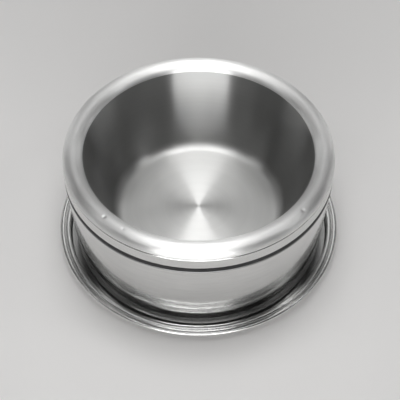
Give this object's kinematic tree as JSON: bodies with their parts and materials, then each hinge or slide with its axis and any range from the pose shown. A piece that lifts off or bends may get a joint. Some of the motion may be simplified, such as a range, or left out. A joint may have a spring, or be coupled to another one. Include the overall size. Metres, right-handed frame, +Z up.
{
  "type": "anti-ant pet bowl",
  "caption": "Round steel pet bowl that lifts off a tapered stand, with a water moat round the foot that keeps ants away from the food.",
  "frame": {"origin": "on the ground, in the middle of the bowl", "axes": "+Z up along the axis of the bowl; the part is turned about Z, so X and Y have no mark of their own and -Y is the side seen in front"},
  "size_m": [0.2202, 0.2202, 0.0946],
  "materials": {
    "bowl_steel": "polished rim, spun floor",
    "collar_steel": "satin",
    "stand_steel": "polished",
    "tray_steel": "polished",
    "seat_rubber": "matt",
    "foot_rubber": "matt"
  },
  "bodies": {
    "base": {"stand_shell": "stand_steel", "moat_tray": "tray_steel", "seat_ring": "seat_rubber", "foot_ring": "foot_rubber"},
    "bowl": {"food_bowl": "bowl_steel", "rim_collar": "collar_steel"}
  },
  "joints": [
    {"name": "bowl_lift", "type": "slide", "parent": "base", "child": "bowl", "axis": [0, 0, 1], "range_m": [0, 0.08]}
  ]
}
